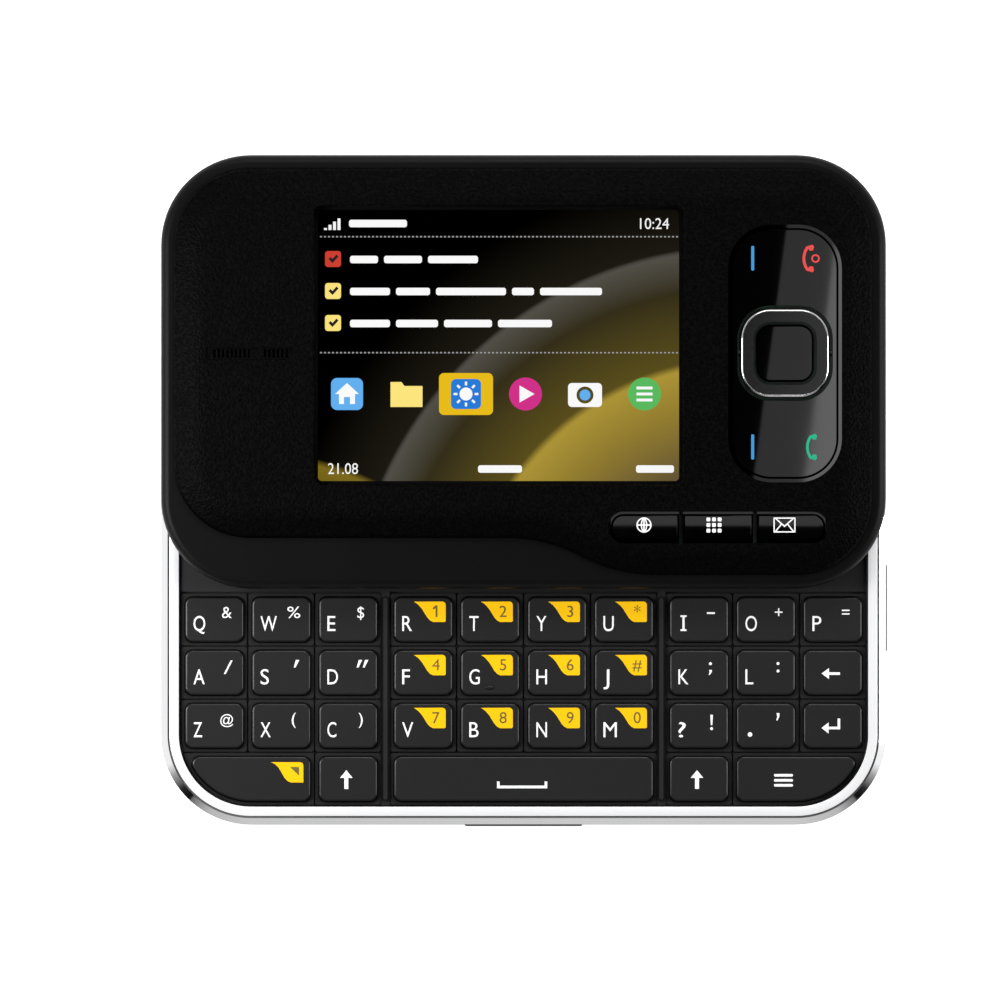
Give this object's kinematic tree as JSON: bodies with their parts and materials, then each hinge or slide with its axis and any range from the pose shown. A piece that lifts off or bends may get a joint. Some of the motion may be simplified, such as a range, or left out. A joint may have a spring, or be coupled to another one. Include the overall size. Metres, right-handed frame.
{
  "type": "slider phone",
  "caption": "Compact side-slider phone, slid open: display and call keys on the upper half, full letter keyboard on the lower.",
  "frame": {"origin": "under the middle of the open phone, on the surface that its back lies on", "axes": "+X to the right and +Y up the page as the display is read, +Z from the back towards the viewer"},
  "size_m": [0.0976, 0.0902, 0.0155],
  "materials": {
    "back_plastic": "fine matt black moulding",
    "bright_frame": "polished bright metal finish with a fine seam",
    "battery_wrap": "printed wrap in two greys",
    "cover_leather": "black grained soft coating",
    "camera_black": "gloss black round the lens",
    "speaker_black": "black mesh and basket",
    "circuit_board": "green solder mask",
    "front_circuit_board": "green solder mask",
    "deck_plastic": "satin dark grey",
    "rail_steel": "drawn steel",
    "carriage_steel": "stamped steel",
    "spring_steel": "spring wire",
    "side_key_dark": "satin black",
    "side_key_silver": "satin silver",
    "rim_plastic": "smooth satin black",
    "front_leather": "black grained soft coating",
    "window_glass": "clear flat window",
    "display_panel": null,
    "earpiece_black": "black capsule",
    "gloss_panel": "high gloss black",
    "ring_metal": "dark satin face with a bright edge",
    "gloss_select": "gloss black",
    "gloss_shortcut": "gloss black",
    "letter_key": "satin charcoal with printed signs"
  },
  "bodies": {
    "base": {"rear_shell": "back_plastic", "base_frame": "bright_frame", "battery": "battery_wrap", "camera_module": "camera_black", "loudspeaker": "speaker_black", "main_board": "circuit_board", "keyboard_deck": "deck_plastic", "slide_rails": "rail_steel", "assist_spring": "spring_steel"},
    "slider": {"slider_housing": "rim_plastic", "slide_carriage": "carriage_steel", "front_cover": "front_leather", "display_window": "window_glass", "display_module": "display_panel", "slider_board": "front_circuit_board", "earpiece": "earpiece_black"},
    "battery_cover": {"battery_cover": "cover_leather"},
    "volume_rocker": {"volume_rocker": "side_key_dark"},
    "capture_key": {"capture_key": "side_key_silver"},
    "keypad_plate": {"keypad_plate": "gloss_panel"},
    "navi_ring": {"navi_ring": "ring_metal"},
    "navi_key": {"navi_key": "gloss_select"},
    "shortcut_web": {"shortcut_web": "gloss_shortcut"},
    "shortcut_menu": {"shortcut_menu": "gloss_shortcut"},
    "shortcut_mail": {"shortcut_mail": "gloss_shortcut"},
    "key_q": {"key_q": "letter_key"},
    "key_w": {"key_w": "letter_key"},
    "key_e": {"key_e": "letter_key"},
    "key_r": {"key_r": "letter_key"},
    "key_t": {"key_t": "letter_key"},
    "key_y": {"key_y": "letter_key"},
    "key_u": {"key_u": "letter_key"},
    "key_i": {"key_i": "letter_key"},
    "key_o": {"key_o": "letter_key"},
    "key_p": {"key_p": "letter_key"},
    "key_a": {"key_a": "letter_key"},
    "key_s": {"key_s": "letter_key"},
    "key_d": {"key_d": "letter_key"},
    "key_f": {"key_f": "letter_key"},
    "key_g": {"key_g": "letter_key"},
    "key_h": {"key_h": "letter_key"},
    "key_j": {"key_j": "letter_key"},
    "key_k": {"key_k": "letter_key"},
    "key_l": {"key_l": "letter_key"},
    "key_erase": {"key_erase": "letter_key"},
    "key_z": {"key_z": "letter_key"},
    "key_x": {"key_x": "letter_key"},
    "key_c": {"key_c": "letter_key"},
    "key_v": {"key_v": "letter_key"},
    "key_b": {"key_b": "letter_key"},
    "key_n": {"key_n": "letter_key"},
    "key_m": {"key_m": "letter_key"},
    "key_question": {"key_question": "letter_key"},
    "key_period": {"key_period": "letter_key"},
    "key_enter": {"key_enter": "letter_key"},
    "key_shift_left": {"key_shift_left": "letter_key"},
    "key_space": {"key_space": "letter_key"},
    "key_shift_right": {"key_shift_right": "letter_key"},
    "key_function": {"key_function": "letter_key"},
    "key_options": {"key_options": "letter_key"}
  },
  "joints": [
    {"name": "slide", "type": "slide", "parent": "base", "child": "slider", "axis": [0, -1, 0], "range_m": [0, 0.03174], "deforming": ["assist_spring"]},
    {"name": "press_q", "type": "slide", "parent": "base", "child": "key_q", "axis": [0, 0, -1], "range_m": [0, 0.00035], "stiffness_N_per_m": 900},
    {"name": "press_w", "type": "slide", "parent": "base", "child": "key_w", "axis": [0, 0, -1], "range_m": [0, 0.00035], "stiffness_N_per_m": 900},
    {"name": "press_e", "type": "slide", "parent": "base", "child": "key_e", "axis": [0, 0, -1], "range_m": [0, 0.00035], "stiffness_N_per_m": 900},
    {"name": "press_r", "type": "slide", "parent": "base", "child": "key_r", "axis": [0, 0, -1], "range_m": [0, 0.00035], "stiffness_N_per_m": 900},
    {"name": "press_t", "type": "slide", "parent": "base", "child": "key_t", "axis": [0, 0, -1], "range_m": [0, 0.00035], "stiffness_N_per_m": 900},
    {"name": "press_y", "type": "slide", "parent": "base", "child": "key_y", "axis": [0, 0, -1], "range_m": [0, 0.00035], "stiffness_N_per_m": 900},
    {"name": "press_u", "type": "slide", "parent": "base", "child": "key_u", "axis": [0, 0, -1], "range_m": [0, 0.00035], "stiffness_N_per_m": 900},
    {"name": "press_i", "type": "slide", "parent": "base", "child": "key_i", "axis": [0, 0, -1], "range_m": [0, 0.00035], "stiffness_N_per_m": 900},
    {"name": "press_o", "type": "slide", "parent": "base", "child": "key_o", "axis": [0, 0, -1], "range_m": [0, 0.00035], "stiffness_N_per_m": 900},
    {"name": "press_p", "type": "slide", "parent": "base", "child": "key_p", "axis": [0, 0, -1], "range_m": [0, 0.00035], "stiffness_N_per_m": 900},
    {"name": "press_a", "type": "slide", "parent": "base", "child": "key_a", "axis": [0, 0, -1], "range_m": [0, 0.00035], "stiffness_N_per_m": 900},
    {"name": "press_s", "type": "slide", "parent": "base", "child": "key_s", "axis": [0, 0, -1], "range_m": [0, 0.00035], "stiffness_N_per_m": 900},
    {"name": "press_d", "type": "slide", "parent": "base", "child": "key_d", "axis": [0, 0, -1], "range_m": [0, 0.00035], "stiffness_N_per_m": 900},
    {"name": "press_f", "type": "slide", "parent": "base", "child": "key_f", "axis": [0, 0, -1], "range_m": [0, 0.00035], "stiffness_N_per_m": 900},
    {"name": "press_g", "type": "slide", "parent": "base", "child": "key_g", "axis": [0, 0, -1], "range_m": [0, 0.00035], "stiffness_N_per_m": 900},
    {"name": "press_h", "type": "slide", "parent": "base", "child": "key_h", "axis": [0, 0, -1], "range_m": [0, 0.00035], "stiffness_N_per_m": 900},
    {"name": "press_j", "type": "slide", "parent": "base", "child": "key_j", "axis": [0, 0, -1], "range_m": [0, 0.00035], "stiffness_N_per_m": 900},
    {"name": "press_k", "type": "slide", "parent": "base", "child": "key_k", "axis": [0, 0, -1], "range_m": [0, 0.00035], "stiffness_N_per_m": 900},
    {"name": "press_l", "type": "slide", "parent": "base", "child": "key_l", "axis": [0, 0, -1], "range_m": [0, 0.00035], "stiffness_N_per_m": 900},
    {"name": "press_erase", "type": "slide", "parent": "base", "child": "key_erase", "axis": [0, 0, -1], "range_m": [0, 0.00035], "stiffness_N_per_m": 900},
    {"name": "press_z", "type": "slide", "parent": "base", "child": "key_z", "axis": [0, 0, -1], "range_m": [0, 0.00035], "stiffness_N_per_m": 900},
    {"name": "press_x", "type": "slide", "parent": "base", "child": "key_x", "axis": [0, 0, -1], "range_m": [0, 0.00035], "stiffness_N_per_m": 900},
    {"name": "press_c", "type": "slide", "parent": "base", "child": "key_c", "axis": [0, 0, -1], "range_m": [0, 0.00035], "stiffness_N_per_m": 900},
    {"name": "press_v", "type": "slide", "parent": "base", "child": "key_v", "axis": [0, 0, -1], "range_m": [0, 0.00035], "stiffness_N_per_m": 900},
    {"name": "press_b", "type": "slide", "parent": "base", "child": "key_b", "axis": [0, 0, -1], "range_m": [0, 0.00035], "stiffness_N_per_m": 900},
    {"name": "press_n", "type": "slide", "parent": "base", "child": "key_n", "axis": [0, 0, -1], "range_m": [0, 0.00035], "stiffness_N_per_m": 900},
    {"name": "press_m", "type": "slide", "parent": "base", "child": "key_m", "axis": [0, 0, -1], "range_m": [0, 0.00035], "stiffness_N_per_m": 900},
    {"name": "press_question", "type": "slide", "parent": "base", "child": "key_question", "axis": [0, 0, -1], "range_m": [0, 0.00035], "stiffness_N_per_m": 900},
    {"name": "press_period", "type": "slide", "parent": "base", "child": "key_period", "axis": [0, 0, -1], "range_m": [0, 0.00035], "stiffness_N_per_m": 900},
    {"name": "press_enter", "type": "slide", "parent": "base", "child": "key_enter", "axis": [0, 0, -1], "range_m": [0, 0.00035], "stiffness_N_per_m": 900},
    {"name": "press_shift_left", "type": "slide", "parent": "base", "child": "key_shift_left", "axis": [0, 0, -1], "range_m": [0, 0.00035], "stiffness_N_per_m": 900},
    {"name": "press_space", "type": "slide", "parent": "base", "child": "key_space", "axis": [0, 0, -1], "range_m": [0, 0.00035], "stiffness_N_per_m": 900},
    {"name": "press_shift_right", "type": "slide", "parent": "base", "child": "key_shift_right", "axis": [0, 0, -1], "range_m": [0, 0.00035], "stiffness_N_per_m": 900},
    {"name": "press_function", "type": "slide", "parent": "base", "child": "key_function", "axis": [0, 0, -1], "range_m": [0, 0.00035], "stiffness_N_per_m": 900},
    {"name": "press_options", "type": "slide", "parent": "base", "child": "key_options", "axis": [0, 0, -1], "range_m": [0, 0.00035], "stiffness_N_per_m": 900},
    {"name": "press_keypad_plate", "type": "slide", "parent": "slider", "child": "keypad_plate", "axis": [0, 0, -1], "range_m": [0, 0.0002], "stiffness_N_per_m": 1500},
    {"name": "tilt_navi_ring", "type": "hinge", "parent": "keypad_plate", "child": "navi_ring", "pos_m": [0.03518, 0.01836, 0.0138], "axis": [1, 0, 0], "range_deg": [-2, 2], "stiffness_Nm_per_rad": 0.2},
    {"name": "press_navi_key", "type": "slide", "parent": "navi_ring", "child": "navi_key", "axis": [0, 0, -1], "range_m": [0, 0.00025], "stiffness_N_per_m": 1500},
    {"name": "press_web", "type": "slide", "parent": "slider", "child": "shortcut_web", "axis": [0, 0, -1], "range_m": [0, 0.0003], "stiffness_N_per_m": 1500},
    {"name": "press_menu", "type": "slide", "parent": "slider", "child": "shortcut_menu", "axis": [0, 0, -1], "range_m": [0, 0.0003], "stiffness_N_per_m": 1500},
    {"name": "press_mail", "type": "slide", "parent": "slider", "child": "shortcut_mail", "axis": [0, 0, -1], "range_m": [0, 0.0003], "stiffness_N_per_m": 1500},
    {"name": "rock_volume", "type": "hinge", "parent": "base", "child": "volume_rocker", "pos_m": [0, -0.04292, 0.00585], "axis": [0, 0, 1], "range_deg": [-2, 2], "stiffness_Nm_per_rad": 0.2},
    {"name": "press_capture", "type": "slide", "parent": "base", "child": "capture_key", "axis": [-1, 0, 0], "range_m": [0, 0.0003], "stiffness_N_per_m": 1500},
    {"name": "lift_battery_cover", "type": "slide", "parent": "base", "child": "battery_cover", "axis": [0, 0, -1], "range_m": [0, 0.012]}
  ]
}
